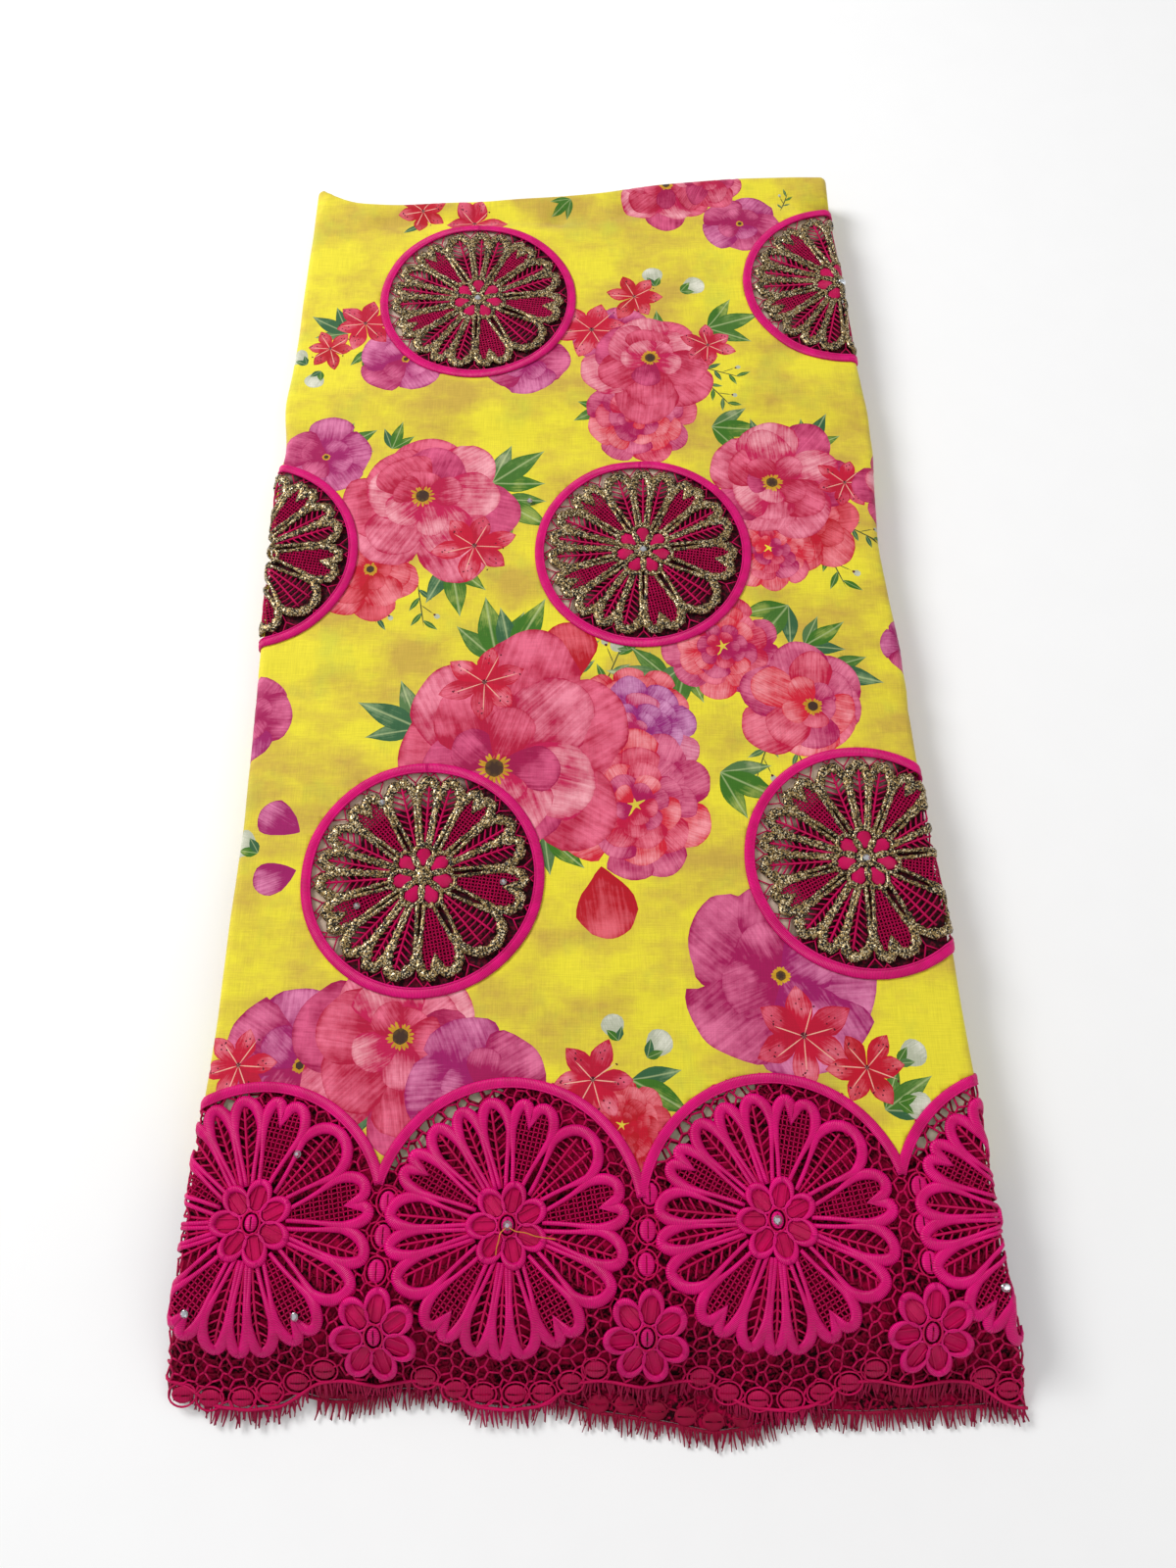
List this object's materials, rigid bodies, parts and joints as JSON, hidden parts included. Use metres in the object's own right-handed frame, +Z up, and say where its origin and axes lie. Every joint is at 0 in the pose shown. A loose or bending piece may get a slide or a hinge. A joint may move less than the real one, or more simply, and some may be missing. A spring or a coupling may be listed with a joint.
{
  "type": "folded length of printed voile fabric with guipure lace",
  "caption": "Folded length of yellow floral voile lying flat, with round guipure lace insets and a pink scalloped guipure border ending in a short fringe.",
  "frame": {"origin": "on the surface it lies on, under the middle of the footprint", "axes": "+X across the folded cloth, +Y from the lace hem to the far fold, +Z up"},
  "size_m": [0.345, 0.6634, 0.0282],
  "materials": {
    "printed_voile": "fine plain-weave cotton voile with a soft sheen, printed with pink flowers",
    "folded_voile": "folded edges of the same voile",
    "medallion_lace": "guipure lace in pink thread outlined with black and gold glitter cord",
    "satin_stitch": "dense satin stitch, glossy along its threads",
    "border_lace": "guipure lace with satin outlines over net",
    "under_lace": "same guipure lace in shade",
    "fringe": "loose eyelash thread fringe"
  },
  "bodies": {
    "root": {"folded_layers": "folded_voile", "top_cloth": "printed_voile", "medallion_1_lace": "medallion_lace", "medallion_1_rim": "satin_stitch", "medallion_2_lace": "medallion_lace", "medallion_2_rim": "satin_stitch", "medallion_3_lace": "medallion_lace", "medallion_3_rim": "satin_stitch", "medallion_4_lace": "medallion_lace", "medallion_4_rim": "satin_stitch", "medallion_5_lace": "medallion_lace", "medallion_5_rim": "satin_stitch", "medallion_6_lace": "medallion_lace", "medallion_6_rim": "satin_stitch", "border_lace": "border_lace", "scallop_band": "satin_stitch", "border_blossom_1": "satin_stitch", "border_blossom_2": "satin_stitch", "border_blossom_3": "satin_stitch", "under_border": "under_lace", "fringe_top": "fringe", "fringe_under": "fringe"}
  },
  "joints": []
}
